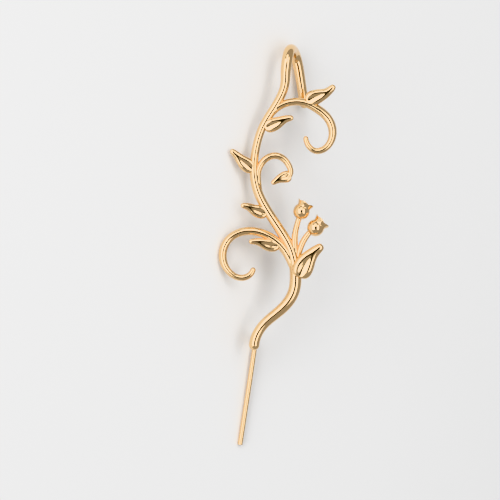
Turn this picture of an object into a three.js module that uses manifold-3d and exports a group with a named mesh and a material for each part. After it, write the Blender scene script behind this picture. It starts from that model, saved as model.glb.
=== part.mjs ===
// A polished gold ear cuff in the shape of a climbing vine, lying on its back as it rests by itself.
// Millimetres. The vine is laid out upright first: x to its right, y behind its face, z up its stem.
// It is then set down on z = 0 with its top towards -X, its right side towards +Y, its face upwards.
import * as THREE from 'three';
import { NURBSCurve } from 'three/addons/curves/NURBSCurve.js';
import { mergeVertices } from 'three/addons/utils/BufferGeometryUtils.js';
import Module from 'manifold-3d';

// How the cuff lies: turned about its own length, then nose down, then moved to the table's middle.
const REST_ROLL = 38.20;
const REST_PITCH = -4.24;
const REST_SHIFT = new THREE.Vector3(-0.35, -0.70, 6.34);

// How finely round shapes are faceted.
const STEM_SIDES = 8;
const ROD_SIDES = 8;
const ROD_STEP = 1.2;
const LEAF_SIDES = 8;
const LEAF_STEP = 0.8;

// Rods: guide points of a clamped cubic B-spline, with the rod's radius at each.
const ROD_COLUMNS = ['x', 'y', 'z', 'radius'];

// The main stem: up behind the ear, over its rim as a hook, and down its front in an S.
const STEM = table(ROD_COLUMNS, [
  [5.4, 7.3, 25.7, 0.85],
  [5.2, 7.2, 26.6, 0.85],
  [4.85, 7.0, 28.8, 0.88],
  [4.5, 7.0, 31.2, 0.92],
  [4.1, 7.2, 33.3, 0.95],
  [3.6, 6.2, 34.9, 0.97],
  [3.0, 3.5, 35.6, 0.98],
  [2.5, 0.9, 34.9, 0.98],
  [2.15, 0.0, 33.2, 0.98],
  [1.85, 0.0, 31.0, 0.92],
  [1.95, 0.0, 28.3, 0.79],
  [-0.05, 0.0, 24.7, 0.77],
  [-2.4, 0.0, 21.4, 0.75],
  [-3.5, 0.0, 17.5, 0.71],
  [-4.0, 0.0, 13.5, 0.79],
  [-3.3, 0.0, 9.5, 0.84],
  [-1.3, 0.0, 5.95, 0.87],
  [0.95, 0.0, 2.7, 0.89],
  [3.1, 0.0, -0.75, 0.9],
  [3.85, 0.0, -4.65, 1.02],
  [3.8, 0.1, -8.85, 0.97],
  [1.0, 0.2, -11.95, 0.93],
  [-2.35, 0.3, -14.15, 0.88],
  [-3.65, 0.4, -16.7, 0.89],
  [-3.75, 0.4, -18.0, 0.88],
]);

// Tendrils and bud stalks branch off the stem; their first points lie inside it.
const TENDRILS = {
  upper: table(ROD_COLUMNS, [
    [-1.7, 0.0, 22.2, 0.54],
    [-1.2, 0.0, 22.9, 0.6],
    [-0.15, 0.0, 24.55, 0.7],
    [2.3, 0.0, 25.8, 0.68],
    [5.1, 0.0, 25.9, 0.69],
    [7.5, 0.0, 24.65, 0.8],
    [9.7, 0.0, 23.0, 0.79],
    [10.7, -0.1, 20.3, 0.75],
    [9.75, -0.3, 17.5, 0.6],
    [6.95, -0.4, 16.3, 0.53],
    [5.6, -0.5, 18.25, 0.48],
    [5.55, -0.5, 19.15, 0.45],
  ]),
  middle: table(ROD_COLUMNS, [
    [-2.7, 0.0, 9.2, 0.49],
    [-2.85, 0.0, 9.9, 0.53],
    [-3.1, 0.0, 11.55, 0.55],
    [-3.1, -0.1, 13.9, 0.55],
    [-1.4, -0.2, 16.05, 0.62],
    [1.05, -0.3, 16.25, 0.6],
    [2.85, -0.3, 14.15, 0.54],
    [3.0, -0.3, 12.55, 0.46],
    [2.15, -0.3, 12.0, 0.45],
  ]),
  left: table(ROD_COLUMNS, [
    [3.25, 0.0, -3.95, 0.72],
    [2.9, 0.0, -3.05, 0.74],
    [2.15, 0.0, -1.15, 0.8],
    [0.1, 0.0, 0.95, 0.83],
    [-2.55, 0.0, 2.4, 0.76],
    [-5.55, 0.0, 2.7, 0.74],
    [-8.4, 0.0, 1.45, 0.68],
    [-9.75, -0.1, -1.45, 0.77],
    [-9.0, -0.2, -4.45, 0.62],
    [-6.4, -0.3, -6.45, 0.53],
    [-4.3, -0.4, -5.55, 0.57],
    [-3.95, -0.4, -4.5, 0.47],
  ]),
  tall_stalk: table(ROD_COLUMNS, [
    [3.9, 0.0, -2.35, 0.45],
    [3.5, -0.2, -0.05, 0.65],
    [3.5, -0.3, 2.3, 0.53],
    [4.3, -0.3, 4.7, 0.47],
  ]),
  short_stalk: table(ROD_COLUMNS, [
    [4.05, 0.0, -3.05, 0.45],
    [4.35, -0.2, -1.05, 0.52],
    [5.05, -0.3, 0.9, 0.58],
    [6.4, -0.3, 2.45, 0.47],
  ]),
};

// The ear wire: drawn wire of one gauge, soldered to the back of the stem's lower end.
const WIRE_RADIUS = 0.44;
const WIRE = table(['x', 'y', 'z'], [
  [-3.5, 0.3, -17.0],
  [-3.5, 2.0, -17.0],
  [-3.5, 4.2, -17.0],
  [-3.5, 5.7, -17.2],
  [-3.7, 5.75, -19.0],
  [-4.5, 5.8, -24.5],
  [-5.4, 5.9, -30.3],
  [-6.3, 6.0, -36.2],
]);

// Leaves: points along each midrib from stalk to tip, with half the leaf's width at each.
const LEAF_COLUMNS = ['x', 'y', 'z', 'halfWidth'];
const LEAF_FLATNESS = 0.55;
const LEAVES = {
  top: table(LEAF_COLUMNS, [
    [6.1, -0.2, 25.5, 0.6],
    [6.9, -0.3, 26.3, 1.15],
    [7.6, -0.4, 26.7, 1.3],
    [8.75, -0.5, 27.0, 1.0],
    [9.9, -0.7, 27.7, 0.7],
    [10.5, -0.9, 28.4, 0.45],
  ]),
  upper_right: table(LEAF_COLUMNS, [
    [-1.7, -0.3, 21.3, 0.6],
    [-0.9, -0.4, 21.5, 1.15],
    [0.0, -0.5, 21.75, 1.2],
    [1.05, -0.5, 22.25, 0.82],
    [2.2, -0.7, 22.75, 0.55],
    [2.95, -0.9, 22.85, 0.42],
  ]),
  upper_left: table(LEAF_COLUMNS, [
    [-3.9, -0.2, 13.7, 0.6],
    [-4.8, -0.3, 14.2, 1.2],
    [-5.55, -0.4, 14.9, 1.15],
    [-6.35, -0.5, 15.6, 0.8],
    [-7.2, -0.7, 16.4, 0.55],
    [-7.8, -0.9, 16.95, 0.4],
  ]),
  curl_end: table(LEAF_COLUMNS, [
    [2.75, -0.3, 12.5, 0.5],
    [2.05, -0.3, 12.3, 0.9],
    [1.2, -0.4, 12.1, 0.98],
    [0.4, -0.5, 11.65, 0.7],
    [-0.3, -0.6, 11.15, 0.42],
  ]),
  lower_left: table(LEAF_COLUMNS, [
    [-1.5, -0.2, 5.8, 0.6],
    [-2.5, -0.3, 5.95, 1.1],
    [-3.5, -0.4, 6.2, 1.08],
    [-4.3, -0.5, 6.65, 0.8],
    [-5.1, -0.6, 7.0, 0.5],
    [-5.85, -0.8, 7.1, 0.35],
  ]),
  under_tendril: table(LEAF_COLUMNS, [
    [0.6, -0.2, 0.0, 0.6],
    [-0.4, -0.3, -0.1, 1.1],
    [-1.4, -0.4, 0.15, 1.0],
    [-2.5, -0.5, 0.5, 0.7],
    [-3.6, -0.6, 0.65, 0.5],
    [-4.4, -0.8, 0.6, 0.35],
  ]),
  large: table(LEAF_COLUMNS, [
    [4.3, -0.8, -5.5, 0.8],
    [4.75, -0.9, -4.8, 1.5],
    [5.2, -1.0, -4.0, 1.75],
    [5.75, -1.1, -2.95, 1.55],
    [6.6, -1.2, -1.75, 1.07],
    [7.5, -1.4, -0.85, 0.75],
    [8.3, -1.6, -0.35, 0.5],
  ]),
};

// Flower buds: a ball on its stalk that opens in a flared crown of petals.
const BUD_BALL_RADIUS = 1.4;
const BUD_NECK_RADIUS = 1.04;
const BUD_NECK_HEIGHT = 0.94;
const BUD_CROWN_RADIUS = 1.46;
const BUD_CROWN_HEIGHT = 1.55;
const BUD_HOLLOW_FLOOR = 0.9;
const BUD_PETALS = 5;
const BUD_PETAL_HEIGHT = 0.18;
const BUDS = table(['x', 'y', 'z', 'lean', 'size'], [
  [4.7, -0.3, 6.05, 29, 1.04],
  [7.25, -0.3, 3.1, 46, 1.07],
]);

const GOLD = new THREE.MeshStandardMaterial({ color: 0xdfb981, roughness: 0.14, metalness: 1.0 });

// Turns rows of values into objects with the columns' names.
function table(columns, rows) {
  return rows.map((row) => Object.fromEntries(columns.map((name, i) => [name, row[i]])));
}

// A clamped cubic B-spline through a list of Vector4 guide points.
function clampedSpline(points) {
  const degree = 3;
  const spans = points.length - degree;
  const knots = new Array(degree).fill(0);
  for (let i = 0; i <= spans; i += 1) {
    knots.push(i);
  }
  knots.push(...new Array(degree).fill(spans));
  return new NURBSCurve(degree, knots, points);
}

// A closed three.js geometry as a solid that can be joined to others.
function solid(manifold, geometry) {
  const bare = geometry.clone();
  bare.deleteAttribute('normal');
  bare.deleteAttribute('uv');
  const merged = mergeVertices(bare.index ? bare.toNonIndexed() : bare, 1e-6);
  return new manifold.Manifold(new manifold.Mesh({
    numProp: 3,
    vertProperties: new Float32Array(merged.attributes.position.array),
    triVerts: new Uint32Array(merged.index.array),
  }));
}

// A rod swept along guide points, as wide as widthAt says across the vine's plane and as thick
// as its width times flatness from front to back. The section starts as a hair-thin polygon, so
// that each corner lies closest to its own station, and is then opened out to its real size.
function sweep(guides, widthAt, flatness, sides, step) {
  const hair = 0.01;
  const path = clampedSpline(guides.map((p) => new THREE.Vector4(p.x, p.y, p.z, 1)));
  const widths = clampedSpline(guides.map((p) => new THREE.Vector4(widthAt(p), 0, 0, 1)));
  const steps = Math.ceil(path.getLength() / step);
  const section = new THREE.Shape(new THREE.EllipseCurve(0, 0, hair, hair).getPoints(sides).slice(0, -1));
  const geometry = new THREE.ExtrudeGeometry(section, { steps, extrudePath: path, bevelEnabled: false });
  const stations = path.getSpacedPoints(steps);
  const sizes = stations.map((_, i) => widths.getPoint(path.getUtoTmapping(i / steps)).x);
  const position = geometry.attributes.position;
  const corner = new THREE.Vector3();
  for (let i = 0; i < position.count; i += 1) {
    corner.fromBufferAttribute(position, i);
    const nearest = closest(stations, corner);
    corner.sub(stations[nearest]).multiplyScalar(sizes[nearest] / hair);
    corner.y *= flatness;
    corner.add(stations[nearest]);
    position.setXYZ(i, corner.x, corner.y, corner.z);
  }
  return geometry;
}

function closest(stations, corner) {
  let nearest = 0;
  stations.forEach((station, i) => {
    if (station.distanceToSquared(corner) < stations[nearest].distanceToSquared(corner)) {
      nearest = i;
    }
  });
  return nearest;
}

// The rounded end of a rod or leaf, sunk a little into its flat cut.
function roundEnd(point, radius, flatness) {
  const geometry = new THREE.SphereGeometry(radius * 0.97, 8, 6);
  geometry.scale(1, flatness, 1);
  geometry.translate(point.x, point.y, point.z);
  return geometry;
}

function stem() {
  const bottom = STEM[STEM.length - 1];
  return [
    sweep(STEM, (p) => p.radius, 1, STEM_SIDES, ROD_STEP),
    roundEnd(STEM[0], STEM[0].radius, 1),
    roundEnd(bottom, bottom.radius, 1),
  ];
}

function tendril(guides) {
  const tip = guides[guides.length - 1];
  return [
    sweep(guides, (p) => p.radius, 1, ROD_SIDES, ROD_STEP),
    roundEnd(tip, tip.radius, 1),
  ];
}

function leaf(guides) {
  const tip = guides[guides.length - 1];
  return [
    sweep(guides, (p) => p.halfWidth, LEAF_FLATNESS, LEAF_SIDES, LEAF_STEP),
    roundEnd(tip, tip.halfWidth, LEAF_FLATNESS),
  ];
}

function earWire() {
  return [sweep(WIRE, () => WIRE_RADIUS, 1, ROD_SIDES, ROD_STEP)];
}

// A turned bud with its crown's rim drawn up into petals, leaned over in the vine's plane.
function bud({ x, y, z, lean, size }) {
  const neckAngle = Math.asin(BUD_NECK_HEIGHT / BUD_BALL_RADIUS);
  const ball = new THREE.EllipseCurve(0, 0, BUD_BALL_RADIUS, BUD_BALL_RADIUS, -Math.PI / 2, neckAngle);
  const profile = ball.getPoints(6);
  profile[0].x = 0;
  profile.push(new THREE.Vector2(BUD_NECK_RADIUS, BUD_NECK_HEIGHT + 0.1));
  profile.push(new THREE.Vector2(BUD_CROWN_RADIUS, BUD_CROWN_HEIGHT));
  profile.push(new THREE.Vector2(BUD_NECK_RADIUS * 0.8, BUD_NECK_HEIGHT + 0.2));
  profile.push(new THREE.Vector2(0, BUD_HOLLOW_FLOOR));
  const geometry = new THREE.LatheGeometry(profile, BUD_PETALS * 4);
  const position = geometry.attributes.position;
  for (let i = 0; i < position.count; i += 1) {
    const around = Math.atan2(position.getZ(i), position.getX(i));
    if (position.getY(i) > BUD_CROWN_HEIGHT - 0.01) {
      position.setY(i, position.getY(i) + BUD_PETAL_HEIGHT * Math.cos(BUD_PETALS * around));
    }
  }
  geometry.scale(size, size, size);
  geometry.rotateX(Math.PI / 2);
  geometry.rotateY(THREE.MathUtils.degToRad(lean));
  geometry.translate(x, y, z);
  return [geometry];
}

// The whole cuff is cast and soldered, so all its branches are joined in one solid.
function vine(manifold) {
  const pieces = [
    ...stem(),
    ...Object.values(TENDRILS).flatMap(tendril),
    ...Object.values(LEAVES).flatMap(leaf),
    ...BUDS.flatMap(bud),
    ...earWire(),
  ];
  const joined = pieces.map((piece) => solid(manifold, piece)).reduce((a, b) => a.add(b));
  const mesh = joined.getMesh();
  const geometry = new THREE.BufferGeometry();
  geometry.setAttribute('position', new THREE.BufferAttribute(mesh.vertProperties, 3));
  geometry.setIndex(new THREE.BufferAttribute(mesh.triVerts, 1));
  return geometry;
}

// Lays the upright vine down: right to +Y, top to -X, back to -Z, then rolled, pitched and moved.
function layDown(object) {
  const flat = new THREE.Matrix4().makeBasis(
    new THREE.Vector3(0, 1, 0),
    new THREE.Vector3(0, 0, -1),
    new THREE.Vector3(-1, 0, 0),
  );
  const roll = new THREE.Matrix4().makeRotationX(THREE.MathUtils.degToRad(REST_ROLL));
  const pitch = new THREE.Matrix4().makeRotationY(THREE.MathUtils.degToRad(REST_PITCH));
  const place = new THREE.Matrix4().makeTranslation(REST_SHIFT);
  object.applyMatrix4(place.multiply(pitch).multiply(roll).multiply(flat));
}

const wasm = await Module();
wasm.setup();

const cuff = new THREE.Mesh(vine(wasm), GOLD);
cuff.name = 'vine_cuff';
layDown(cuff);

const group = new THREE.Group();
group.add(cuff);

export default group;
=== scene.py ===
import math
import bpy
from mathutils import Matrix, Vector


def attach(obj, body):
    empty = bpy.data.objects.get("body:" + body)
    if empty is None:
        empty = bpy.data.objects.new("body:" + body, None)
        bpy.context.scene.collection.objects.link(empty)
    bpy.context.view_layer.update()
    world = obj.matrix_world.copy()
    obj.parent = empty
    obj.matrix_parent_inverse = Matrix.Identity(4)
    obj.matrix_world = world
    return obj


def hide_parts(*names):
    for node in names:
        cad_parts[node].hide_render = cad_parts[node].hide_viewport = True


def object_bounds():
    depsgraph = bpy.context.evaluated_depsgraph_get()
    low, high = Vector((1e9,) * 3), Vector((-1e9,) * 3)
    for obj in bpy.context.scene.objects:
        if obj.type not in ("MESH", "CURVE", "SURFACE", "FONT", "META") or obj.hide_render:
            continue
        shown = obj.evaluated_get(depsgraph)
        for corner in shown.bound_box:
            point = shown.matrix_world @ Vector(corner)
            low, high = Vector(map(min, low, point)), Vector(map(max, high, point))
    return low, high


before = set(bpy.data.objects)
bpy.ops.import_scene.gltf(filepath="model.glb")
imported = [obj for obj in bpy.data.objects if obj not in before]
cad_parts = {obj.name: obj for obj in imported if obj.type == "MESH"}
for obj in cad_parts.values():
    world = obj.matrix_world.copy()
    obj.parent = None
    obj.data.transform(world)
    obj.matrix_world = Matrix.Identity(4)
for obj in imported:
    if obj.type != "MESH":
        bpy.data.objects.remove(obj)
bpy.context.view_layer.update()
bpy.ops.object.select_all(action="DESELECT")


# ---------------------------------------------------------------- workbench
# The cuff is made flat on a bench, face up, in millimetres: x to the vine's right, y up its stem
# and z out of its face. Each finished piece is then laid down as the cast cuff rests by itself,
# rolled about its length and pitched, and carried over to the frame's metres.
REST_ROLL = math.radians(38.20)
REST_PITCH = math.radians(-4.24)
REST_SHIFT = Vector((-0.35, -0.70, 6.34))
MILLIMETRE = 0.001
QUARTER_TURN = math.pi / 2
# Two points of a piece that are nearer to each other than this count as one place.
SAME_PLACE = 0.001

BENCH_TO_FLAT = Matrix(((0, -1, 0, 0), (1, 0, 0, 0), (0, 0, 1, 0), (0, 0, 0, 1)))
TURN = Matrix.Rotation(REST_PITCH, 4, "Y") @ Matrix.Rotation(REST_ROLL, 4, "X") @ BENCH_TO_FLAT
LAY_DOWN = Matrix.Scale(MILLIMETRE, 4) @ Matrix.Translation(REST_SHIFT) @ TURN


def only(piece):
    """Makes one object the selected and active one."""
    bpy.ops.object.select_all(action="DESELECT")
    piece.select_set(True)
    bpy.context.view_layer.objects.active = piece


def apply_modifier(piece, kind, **settings):
    """Adds a modifier with its settings and applies it at once."""
    modifier = piece.modifiers.new(kind.lower(), kind)
    for name, value in settings.items():
        setattr(modifier, name, value)
    only(piece)
    bpy.ops.object.modifier_apply(modifier=modifier.name)


def lay_down(piece, material, crease=40):
    """Smooths a finished piece, gives it its metal and lays it in the frame on the one body."""
    only(piece)
    bpy.ops.object.transform_apply(location=True, rotation=True, scale=True)
    bpy.ops.object.mode_set(mode="EDIT")
    bpy.ops.mesh.select_all(action="SELECT")
    bpy.ops.mesh.normals_make_consistent(inside=False)
    bpy.ops.object.mode_set(mode="OBJECT")
    bpy.ops.object.shade_smooth_by_angle(angle=math.radians(crease))
    piece.data.transform(LAY_DOWN)
    piece.data.materials.clear()
    piece.data.materials.append(material)
    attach(piece, "root")
    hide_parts("vine_cuff")


# ---------------------------------------------------------------- polished gold
# The metal is pale yellow gold, cast, tumbled and brought to a high polish by hand. The polish leaves
# hair-fine marks and a soft unevenness; painted shade darkens its creases, with the compound's warm
# tint.
def polish_and_crease_shade():
    """Group: fine polishing marks, slow waviness and painted crease shade that vary over the surface."""
    group = bpy.data.node_groups.new("polish_and_crease_shade", "ShaderNodeTree")
    face = group.interface
    sizes = {"Marks Scale": 3000.0, "Wave Scale": 140.0, "Smoothest": 0.05, "Dullest": 0.16}
    for name, value in sizes.items():
        face.new_socket(name, in_out="INPUT", socket_type="NodeSocketFloat").default_value = value
    for name in ("Clean Color", "Crease Shade Color"):
        face.new_socket(name, in_out="INPUT", socket_type="NodeSocketColor")
    face.new_socket("Color", in_out="OUTPUT", socket_type="NodeSocketColor")
    face.new_socket("Roughness", in_out="OUTPUT", socket_type="NodeSocketFloat")
    face.new_socket("Height", in_out="OUTPUT", socket_type="NodeSocketFloat")
    nodes, links = group.nodes, group.links
    given = nodes.new("NodeGroupInput")
    result = nodes.new("NodeGroupOutput")
    place = nodes.new("ShaderNodeTexCoord")
    marks = nodes.new("ShaderNodeTexNoise")
    marks.inputs["Detail"].default_value = 4.0
    wave = nodes.new("ShaderNodeTexNoise")
    wave.inputs["Detail"].default_value = 1.0
    for texture, scale in ((marks, "Marks Scale"), (wave, "Wave Scale")):
        links.new(place.outputs["Object"], texture.inputs["Vector"])
        links.new(given.outputs[scale], texture.inputs["Scale"])
    spread = nodes.new("ShaderNodeMapRange")
    spread.inputs["From Min"].default_value = 0.35
    spread.inputs["From Max"].default_value = 0.75
    links.new(marks.outputs["Fac"], spread.inputs["Value"])
    links.new(given.outputs["Smoothest"], spread.inputs["To Min"])
    links.new(given.outputs["Dullest"], spread.inputs["To Max"])
    links.new(spread.outputs["Result"], result.inputs["Roughness"])
    shape = nodes.new("ShaderNodeNewGeometry")
    # Painted shade: the deeper a hollow or crease, the more of the dark crease colour is mixed in.
    crease = nodes.new("ShaderNodeMapRange")
    crease.inputs["From Min"].default_value = 0.5
    crease.inputs["From Max"].default_value = 0.36
    links.new(shape.outputs["Pointiness"], crease.inputs["Value"])
    crease_shade_mix = nodes.new("ShaderNodeMix")
    crease_shade_mix.data_type = "RGBA"
    links.new(crease.outputs["Result"], crease_shade_mix.inputs["Factor"])
    links.new(given.outputs["Clean Color"], crease_shade_mix.inputs["A"])
    links.new(given.outputs["Crease Shade Color"], crease_shade_mix.inputs["B"])
    links.new(crease_shade_mix.outputs["Result"], result.inputs["Color"])
    blend = nodes.new("ShaderNodeMath")
    blend.operation = "MULTIPLY_ADD"
    blend.inputs[1].default_value = 0.01
    links.new(marks.outputs["Fac"], blend.inputs[0])
    links.new(wave.outputs["Fac"], blend.inputs[2])
    links.new(blend.outputs["Value"], result.inputs["Height"])
    return group


POLISH_AND_CREASE_SHADE = polish_and_crease_shade()


def gold(name, clean, crease, smoothest, dullest, wave_depth):
    """A gold whose polish marks, painted crease shade and waviness come from the shared group."""
    metal = bpy.data.materials.new(name)
    metal.use_nodes = True
    nodes, links = metal.node_tree.nodes, metal.node_tree.links
    shader = nodes["Principled BSDF"]
    shader.inputs["Metallic"].default_value = 1.0
    shader.inputs["IOR"].default_value = 1.45
    marks = nodes.new("ShaderNodeGroup")
    marks.node_tree = POLISH_AND_CREASE_SHADE
    marks.inputs["Clean Color"].default_value = clean
    marks.inputs["Crease Shade Color"].default_value = crease
    marks.inputs["Smoothest"].default_value = smoothest
    marks.inputs["Dullest"].default_value = dullest
    links.new(marks.outputs["Color"], shader.inputs["Base Color"])
    links.new(marks.outputs["Roughness"], shader.inputs["Roughness"])
    bump = nodes.new("ShaderNodeBump")
    bump.inputs["Strength"].default_value = 0.5
    bump.inputs["Distance"].default_value = wave_depth * MILLIMETRE
    links.new(marks.outputs["Height"], bump.inputs["Height"])
    links.new(bump.outputs["Normal"], shader.inputs["Normal"])
    return metal


# Its crease colour is painted shade in the hollows, partly the polishing compound's warm tint.
CAST_GOLD = gold(
    "cast_gold",
    clean=(0.92, 0.64, 0.35, 1),
    crease=(0.35, 0.15, 0.04, 1),
    smoothest=0.04,
    dullest=0.13,
    wave_depth=0.03,
)


# ---------------------------------------------------------------- stem and tendrils
# The vine itself: a tapering main stem, bent over at its top into the hook for the ear's rim, and
# three tendrils and two bud stalks that grow out of it. It is cast in one piece, so the rods are
# swept along their guide points, rounded at their ends and welded together.
ROD_ROUNDNESS = 10
RINGS_PER_SPAN = 14
CUBIC = 4
# How far from a rod's end point, in its radius and along the rod, its last ring is looked for.
END_RING_REACH = 1.1
END_RING_DEPTH = 0.02
DOME_ANGLES = (18, 36, 52, 66, 78)

STEM = (
    # x, y, z, radius
    (5.4, 25.7, -7.3, 0.85),
    (5.2, 26.6, -7.2, 0.85),
    (4.85, 28.8, -7.0, 0.88),
    (4.5, 31.2, -7.0, 0.92),
    (4.1, 33.3, -7.2, 0.95),
    (3.6, 34.9, -6.2, 0.97),
    (3.0, 35.6, -3.5, 0.98),
    (2.5, 34.9, -0.9, 0.98),
    (2.15, 33.2, 0.0, 0.98),
    (1.85, 31.0, 0.0, 0.92),
    (1.95, 28.3, 0.0, 0.79),
    (-0.05, 24.7, 0.0, 0.77),
    (-2.4, 21.4, 0.0, 0.75),
    (-3.5, 17.5, 0.0, 0.71),
    (-4.0, 13.5, 0.0, 0.79),
    (-3.3, 9.5, 0.0, 0.84),
    (-1.3, 5.95, 0.0, 0.87),
    (0.95, 2.7, 0.0, 0.89),
    (3.1, -0.75, 0.0, 0.9),
    (3.8, -4.65, 0.0, 1.08),
    (3.7, -8.85, -0.1, 1.07),
    (1.0, -11.95, -0.2, 0.98),
    (-2.35, -14.15, -0.3, 0.88),
    (-3.65, -16.7, -0.4, 0.94),
    (-3.75, -18.0, -0.4, 0.95),
)
TENDRILS = {
    "upper_tendril": (
        (-1.7, 22.2, 0.0, 0.54),
        (-1.2, 22.9, 0.0, 0.6),
        (-0.15, 24.55, 0.0, 0.7),
        (2.3, 25.8, 0.0, 0.68),
        (5.1, 25.9, 0.0, 0.69),
        (7.5, 24.65, 0.0, 0.8),
        (9.7, 23.0, 0.0, 0.79),
        (10.7, 20.3, 0.1, 0.75),
        (9.75, 17.5, 0.3, 0.6),
        (6.95, 16.3, 0.4, 0.53),
        (5.6, 18.25, 0.5, 0.48),
        (5.55, 19.15, 0.5, 0.45),
    ),
    "middle_curl": (
        (-2.7, 9.2, 0.0, 0.49),
        (-2.85, 9.9, 0.0, 0.53),
        (-3.1, 11.55, 0.0, 0.55),
        (-3.1, 13.9, 0.1, 0.55),
        (-1.4, 16.05, 0.2, 0.62),
        (1.05, 16.25, 0.3, 0.6),
        (2.85, 14.15, 0.3, 0.54),
        (3.0, 12.55, 0.3, 0.46),
        (2.15, 12.0, 0.3, 0.45),
    ),
    "left_tendril": (
        (3.25, -3.95, 0.0, 0.72),
        (2.9, -3.05, 0.0, 0.74),
        (2.15, -1.15, 0.0, 0.8),
        (0.1, 0.95, 0.0, 0.83),
        (-2.55, 2.4, 0.0, 0.76),
        (-5.55, 2.7, 0.0, 0.74),
        (-8.4, 1.45, 0.0, 0.68),
        (-9.75, -1.45, 0.1, 0.77),
        (-9.0, -4.45, 0.2, 0.62),
        (-6.4, -6.45, 0.3, 0.53),
        (-4.3, -5.55, 0.4, 0.57),
        (-3.95, -4.5, 0.4, 0.47),
    ),
    "tall_stalk": (
        (3.9, -2.35, 0.0, 0.45),
        (3.6, -1.0, 0.1, 0.62),
        (3.45, 0.3, 0.2, 0.6),
        (3.6, 2.6, 0.3, 0.52),
        (4.3, 4.8, 0.3, 0.47),
    ),
    "short_stalk": (
        (4.05, -3.05, 0.0, 0.45),
        (4.2, -1.9, 0.1, 0.5),
        (4.5, -0.6, 0.2, 0.55),
        (5.25, 1.2, 0.3, 0.56),
        (6.45, 2.5, 0.3, 0.47),
    ),
}


def add_path(name, guides):
    """A clamped cubic curve along guide points, each (x, y, z, radius)."""
    bpy.ops.object.select_all(action="DESELECT")
    bpy.ops.curve.primitive_nurbs_path_add()
    path = bpy.context.object
    path.name = name
    spline = path.data.splines[0]
    spline.points.add(len(guides) - len(spline.points))
    for point, (x, y, z, radius) in zip(spline.points, guides):
        point.co = (x, y, z, 1)
        point.radius = radius
    spline.order_u = CUBIC
    spline.use_endpoint_u = True
    spline.resolution_u = RINGS_PER_SPAN
    path.data.twist_mode = "Z_UP"
    return path


def add_rod(name, guides):
    """A round rod with flat closed ends, as thick at each guide point as its radius says."""
    rod = add_path(name, guides)
    rod.data.twist_mode = "MINIMUM"
    rod.data.bevel_depth = 1.0
    rod.data.bevel_resolution = ROD_ROUNDNESS
    rod.data.use_fill_caps = True
    bpy.ops.object.convert(target="MESH")
    bpy.ops.object.mode_set(mode="EDIT")
    bpy.ops.mesh.select_all(action="SELECT")
    bpy.ops.mesh.remove_doubles(threshold=SAME_PLACE)
    bpy.ops.object.mode_set(mode="OBJECT")
    return rod


def select_where(piece, test):
    """Enters edit mode with only those points selected that pass a test."""
    only(piece)
    bpy.ops.object.mode_set(mode="EDIT")
    bpy.ops.mesh.select_mode(type="VERT")
    bpy.ops.mesh.select_all(action="DESELECT")
    bpy.ops.object.mode_set(mode="OBJECT")
    for point in piece.data.vertices:
        point.select = test(point)
    bpy.ops.object.mode_set(mode="EDIT")


def dome_end(rod, end, inner):
    """Rounds a rod's flat end off with a few shrinking extrusions."""
    centre = Vector(end[:3])
    outward = (centre - Vector(inner[:3])).normalized()
    radius = end[3]

    def on_end_ring(point):
        offset = point.co - centre
        return offset.length < radius * END_RING_REACH and offset.dot(outward) > -END_RING_DEPTH

    select_where(rod, on_end_ring)
    height, width = 0.0, 1.0
    for degrees in DOME_ANGLES:
        rise = radius * math.sin(math.radians(degrees)) - height
        narrow = math.cos(math.radians(degrees)) / width
        bpy.ops.mesh.extrude_region_move(TRANSFORM_OT_translate={"value": outward * rise})
        height += rise
        width *= narrow
        middle = centre + outward * height
        bpy.ops.transform.resize(value=(narrow, narrow, narrow), center_override=middle)
    bpy.ops.object.mode_set(mode="OBJECT")


def weld(base, other):
    """Joins another rod to the base as one closed solid."""
    apply_modifier(base, "BOOLEAN", operation="UNION", solver="EXACT", object=other)
    bpy.data.objects.remove(other)


stem = add_rod("vine_stem", STEM)
dome_end(stem, STEM[0], STEM[1])
dome_end(stem, STEM[-1], STEM[-2])
for tendril_name, tendril_guides in TENDRILS.items():
    tendril = add_rod(tendril_name, tendril_guides)
    dome_end(tendril, tendril_guides[-1], tendril_guides[-2])
    weld(stem, tendril)
lay_down(stem, CAST_GOLD)


# ---------------------------------------------------------------- leaves
# Plump cast leaves, each with two puffed halves, a valley along its midrib and a long rounded tip.
# One leaf is modelled straight, root at zero and tip at one, and every copy is drawn out to its
# own size and bent along its own midrib, with its root sunk into the rod that bears it.
LEAF_CORNERS = 16
LEAF_SMOOTHING = 3
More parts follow.
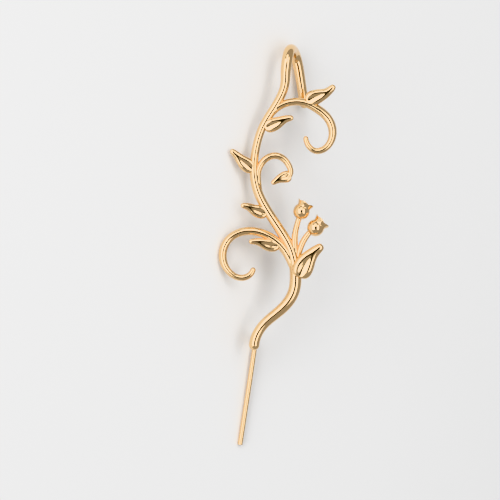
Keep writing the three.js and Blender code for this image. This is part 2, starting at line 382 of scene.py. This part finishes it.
# The share of the valley's depth that the points on either side of its line go down.
VALLEY_SHOULDER = 0.3
LEAF_SECTIONS = (
    # along, half width, half thickness, valley depth
    (0.0, 0.52, 0.36, 0.0),
    (0.05, 0.9, 0.52, 0.12),
    (0.14, 1.12, 0.62, 0.32),
    (0.26, 1.16, 0.66, 0.4),
    (0.4, 1.06, 0.62, 0.3),
    (0.54, 0.86, 0.55, 0.14),
    (0.68, 0.67, 0.48, 0.02),
    (0.82, 0.54, 0.42, 0.0),
    (0.93, 0.47, 0.38, 0.0),
    (0.985, 0.3, 0.24, 0.0),
    (1.0, 0.12, 0.1, 0.0),
)
LEAVES = {
    # name: half width, then the midrib's points x, y, z
    "leaf_top": (
        1.25,
        ((5.6, 25.9, 0.2), (6.8, 26.4, 0.4), (8.1, 26.9, 0.5), (9.6, 27.4, 0.7), (10.7, 28.7, 0.9)),
    ),
    "leaf_upper_right": (
        1.13,
        ((-1.9, 21.2, 0.3), (-0.7, 21.5, 0.5), (0.6, 21.9, 0.6), (1.9, 22.8, 0.7), (3.3, 22.85, 0.9)),
    ),
    "leaf_upper_left": (
        1.15,
        ((-3.8, 13.6, 0.2), (-5.0, 14.3, 0.4), (-6.0, 15.1, 0.5), (-7.0, 16.3, 0.7), (-8.0, 17.1, 0.9)),
    ),
    "leaf_curl_end": (
        0.95,
        ((2.9, 12.5, 0.3), (2.1, 12.3, 0.4), (1.2, 12.1, 0.5), (0.4, 11.7, 0.5), (-0.6, 11.0, 0.6)),
    ),
    "leaf_lower_left": (
        1.08,
        ((-1.4, 5.8, 0.2), (-2.7, 5.9, 0.4), (-3.9, 6.3, 0.5), (-5.0, 7.1, 0.6), (-6.15, 7.1, 0.8)),
    ),
    "leaf_under_tendril": (
        1.03,
        ((0.7, 0.0, 0.2), (-0.5, -0.2, 0.4), (-1.9, 0.15, 0.5), (-3.2, 0.75, 0.6), (-4.7, 0.55, 0.8)),
    ),
    "leaf_large": (
        1.68,
        ((4.2, -5.8, 0.8), (4.75, -4.6, 1.0), (5.5, -3.1, 1.1), (6.9, -1.2, 1.3), (8.6, -0.1, 1.6)),
    ),
}


def straight_leaf():
    """The pattern leaf: a disc drawn out through its sections, with the valley pressed in."""
    bpy.ops.object.select_all(action="DESELECT")
    bpy.ops.mesh.primitive_circle_add(
        vertices=LEAF_CORNERS, radius=1, fill_type="NGON", rotation=(0, QUARTER_TURN, 0)
    )
    leaf = bpy.context.object
    bpy.ops.object.transform_apply(location=True, rotation=True, scale=True)
    bpy.ops.object.mode_set(mode="EDIT")
    bpy.ops.mesh.select_all(action="SELECT")
    before, wide, thick, _ = LEAF_SECTIONS[0]
    bpy.ops.transform.resize(value=(1, wide, thick), center_override=(0, 0, 0))
    for along, half_width, half_thickness, _ in LEAF_SECTIONS[1:]:
        bpy.ops.mesh.extrude_region_move(TRANSFORM_OT_translate={"value": (along - before, 0, 0)})
        growth = (1, half_width / wide, half_thickness / thick)
        bpy.ops.transform.resize(value=growth, center_override=(along, 0, 0))
        before, wide, thick = along, half_width, half_thickness
    bpy.ops.object.mode_set(mode="OBJECT")
    first_corner = math.sin(math.tau / LEAF_CORNERS)
    for along, half_width, _, valley in LEAF_SECTIONS:
        for across, share in ((0.0, 1.0), (half_width * first_corner, VALLEY_SHOULDER)):
            spot = Vector((along, across))
            select_where(
                leaf, lambda v: (Vector((v.co.x, abs(v.co.y))) - spot).length < SAME_PLACE and v.co.z > 0
            )
            bpy.ops.transform.translate(value=(0, 0, -valley * share))
            bpy.ops.object.mode_set(mode="OBJECT")
    return leaf


pattern_leaf = straight_leaf()
for leaf_name, (half_width, midrib) in LEAVES.items():
    midrib_path = add_path(leaf_name + "_midrib", [(x, y, z, 1.0) for x, y, z in midrib])
    midrib_length = midrib_path.data.splines[0].calc_length()
    leaf = pattern_leaf.copy()
    leaf.data = pattern_leaf.data.copy()
    leaf.name = leaf_name
    bpy.context.collection.objects.link(leaf)
    leaf.data.transform(Matrix.Diagonal((midrib_length, half_width, half_width, 1)))
    apply_modifier(leaf, "SUBSURF", levels=LEAF_SMOOTHING, render_levels=LEAF_SMOOTHING)
    apply_modifier(leaf, "CURVE", object=midrib_path, deform_axis="POS_X")
    bpy.data.objects.remove(midrib_path)
    lay_down(leaf, CAST_GOLD, crease=180)
bpy.data.objects.remove(pattern_leaf)


# ---------------------------------------------------------------- flower buds
# Two cast buds, one on each stalk: a ball that narrows at its neck and opens in a flared crown
# of five petals round a dished middle.
BUD_RADIUS = 1.5
BUD_SEGMENTS = 30
BUD_RINGS = 20
BUD_SMOOTHING = 2
PETALS = 5
NECK_HEIGHT = 0.85
CROWN_STEPS = (
    # rise, widening: out to the rim, over it, and down into the dished middle
    (0.12, 0.98),
    (0.3, 1.09),
    (0.35, 1.13),
    (0.14, 1.04),
    (0.0, 0.87),
    (-0.5, 0.82),
    (-0.15, 0.45),
)
PETAL_RISE = 0.12
PETAL_SPREAD = 0.04
BUDS = {
    # name: ball centre x, y, z, lean to the right in degrees, size
    "bud_tall_stalk": (4.75, 6.05, 0.3, 29, 1.0),
    "bud_short_stalk": (7.3, 3.1, 0.3, 46, 1.03),
}


def upright_bud():
    """The pattern bud: a ball cut open at its neck, its rim drawn up, out and back in."""
    bpy.ops.object.select_all(action="DESELECT")
    bpy.ops.mesh.primitive_uv_sphere_add(segments=BUD_SEGMENTS, ring_count=BUD_RINGS, radius=BUD_RADIUS)
    bud = bpy.context.object
    bpy.ops.object.mode_set(mode="EDIT")
    bpy.ops.mesh.select_all(action="SELECT")
    bpy.ops.mesh.bisect(plane_co=(0, 0, NECK_HEIGHT), plane_no=(0, 0, 1), clear_outer=True)
    bpy.ops.object.mode_set(mode="OBJECT")
    select_where(bud, lambda v: v.co.z > NECK_HEIGHT - SAME_PLACE)
    height = NECK_HEIGHT
    for rise, widening in CROWN_STEPS:
        bpy.ops.mesh.extrude_region_move(TRANSFORM_OT_translate={"value": (0, 0, rise)})
        height += rise
        bpy.ops.transform.resize(value=(widening, widening, 1), center_override=(0, 0, height))
    bpy.ops.mesh.edge_face_add()
    bpy.ops.object.mode_set(mode="OBJECT")
    rim_height = max(v.co.z for v in bud.data.vertices)
    for point in bud.data.vertices:
        if point.co.z > rim_height - SAME_PLACE:
            around = math.atan2(point.co.y, point.co.x)
            petal = 2 * abs(math.sin(PETALS * around / 2)) - 1
            point.co.z += PETAL_RISE * petal
            point.co.x *= 1 + PETAL_SPREAD * petal
            point.co.y *= 1 + PETAL_SPREAD * petal
    apply_modifier(bud, "SUBSURF", levels=BUD_SMOOTHING, render_levels=BUD_SMOOTHING)
    return bud


pattern_bud = upright_bud()
for bud_name, (x, y, z, lean, size) in BUDS.items():
    bud = pattern_bud.copy()
    bud.data = pattern_bud.data.copy()
    bud.name = bud_name
    bpy.context.collection.objects.link(bud)
    upright = Matrix.Rotation(-QUARTER_TURN, 4, "X")
    leaned = Matrix.Rotation(math.radians(-lean), 4, "Z")
    bud.data.transform(Matrix.Translation((x, y, z)) @ leaned @ upright @ Matrix.Scale(size, 4))
    lay_down(bud, CAST_GOLD)
bpy.data.objects.remove(pattern_bud)


# ---------------------------------------------------------------- ear wire
# A straight length of drawn gold wire of one gauge, bent once and soldered to the back of the
# stem's lower end. It goes through the pierced lobe and ends in a flat cut.
WIRE_RADIUS = 0.44
WIRE_BEVEL = 0.05
WIRE_BEVEL_STEPS = 3
WIRE_CORNER_ANGLE = 1.0
WIRE = (
    # x, y, z
    (-3.5, -17.0, -0.3),
    (-3.5, -17.0, -2.0),
    (-3.5, -17.0, -4.2),
    (-3.5, -17.2, -5.7),
    (-3.7, -19.0, -5.75),
    (-4.5, -24.5, -5.8),
    (-5.4, -30.3, -5.9),
    (-6.3, -36.2, -6.0),
)
ear_wire = add_rod("ear_wire", [(x, y, z, WIRE_RADIUS) for x, y, z in WIRE])
apply_modifier(
    ear_wire,
    "BEVEL",
    width=WIRE_BEVEL,
    segments=WIRE_BEVEL_STEPS,
    limit_method="ANGLE",
    angle_limit=WIRE_CORNER_ANGLE,
)
lay_down(ear_wire, CAST_GOLD)


# ---------------------------------------------------------------- table, light and camera
# A plain pale table under soft boxes that stand round the camera's line of sight, so that every
# rod carries two bright bands. A black card round the lens draws the thin dark line between them.
TABLE_SIZE = 4.0
TABLE_GREY = 0.82
CAMERA_DISTANCE = 0.75
NEAREST_SEEN = 0.01
FIELD_WIDTH = 0.090
AIM = Vector((-4.5, -0.9, 0.0))
CARD_AHEAD = 0.05
CARD_HOLE = 0.006
CARD_RADIUS = 0.16
CARD_CORNERS = 48
CARD_GREY = 0.01
WORLD_LIGHT = 0.42
SOFT_BOXES = (
    # name, x, y, z from the aim point in metres, width, height, radiance
    ("left_box", -0.3, 0.05, 0.52, 0.34, 0.7, 3.8),
    ("right_box", 0.33, 0.05, 0.5, 0.28, 0.7, 2.9),
    ("top_box", 0.0, 0.4, 0.5, 0.3, 0.4, 2.6),
)


def bench_place(x, y, z):
    """A place given from the aim point on the bench in metres, in the frame."""
    return LAY_DOWN @ AIM + TURN.to_3x3() @ Vector((x, y, z))


def plain(name, grey, roughness):
    """A plain matt material without a tint."""
    material = bpy.data.materials.new(name)
    material.use_nodes = True
    shader = material.node_tree.nodes["Principled BSDF"]
    shader.inputs["Base Color"].default_value = (grey, grey, grey, 1)
    shader.inputs["Roughness"].default_value = roughness
    shader.inputs["Specular IOR Level"].default_value = 0.2
    return material


bpy.ops.mesh.primitive_plane_add(size=TABLE_SIZE, location=(0, 0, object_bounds()[0][2]))
table = bpy.context.object
table.name = "pale_table"
table.data.materials.append(plain("pale_table", grey=TABLE_GREY, roughness=0.8))

for name, x, y, z, width, height, radiance in SOFT_BOXES:
    place = bench_place(x, y, z)
    bpy.ops.object.light_add(type="AREA", location=place)
    box = bpy.context.object
    box.name = name
    box.data.shape = "RECTANGLE"
    box.data.size = width
    box.data.size_y = height
    box.data.energy = radiance * math.pi * width * height
    facing = (place - LAY_DOWN @ AIM).normalized()
    sideways = (TURN.to_3x3() @ Vector((0, 1, 0))).cross(facing).normalized()
    turn = Matrix((sideways, facing.cross(sideways), facing)).transposed()
    box.matrix_world = Matrix.Translation(place) @ turn.to_4x4()

world = bpy.data.worlds.new("soft_studio")
world.use_nodes = True
world.node_tree.nodes["Background"].inputs["Color"].default_value = (1, 1, 1, 1)
world.node_tree.nodes["Background"].inputs["Strength"].default_value = WORLD_LIGHT
bpy.context.scene.world = world
bpy.context.scene.view_settings.view_transform = "Khronos PBR Neutral"

bpy.ops.object.camera_add()
camera = bpy.context.object
camera.data.lens = camera.data.sensor_width * CAMERA_DISTANCE / FIELD_WIDTH
camera.data.clip_start = NEAREST_SEEN
camera.matrix_world = Matrix.Translation(bench_place(0, 0, CAMERA_DISTANCE)) @ TURN.to_3x3().to_4x4()
bpy.context.scene.camera = camera

bpy.ops.mesh.primitive_circle_add(vertices=CARD_CORNERS, radius=CARD_RADIUS, fill_type="NGON")
card = bpy.context.object
card.name = "lens_card"
bpy.ops.object.mode_set(mode="EDIT")
bpy.ops.mesh.select_all(action="SELECT")
bpy.ops.mesh.inset(thickness=CARD_RADIUS - CARD_HOLE)
bpy.ops.mesh.delete(type="FACE")
bpy.ops.object.mode_set(mode="OBJECT")
card_place = bench_place(0, 0, CAMERA_DISTANCE - CARD_AHEAD)
card.data.transform(Matrix.Translation(card_place) @ TURN.to_3x3().to_4x4())
card.data.materials.append(plain("lens_card", grey=CARD_GREY, roughness=0.9))
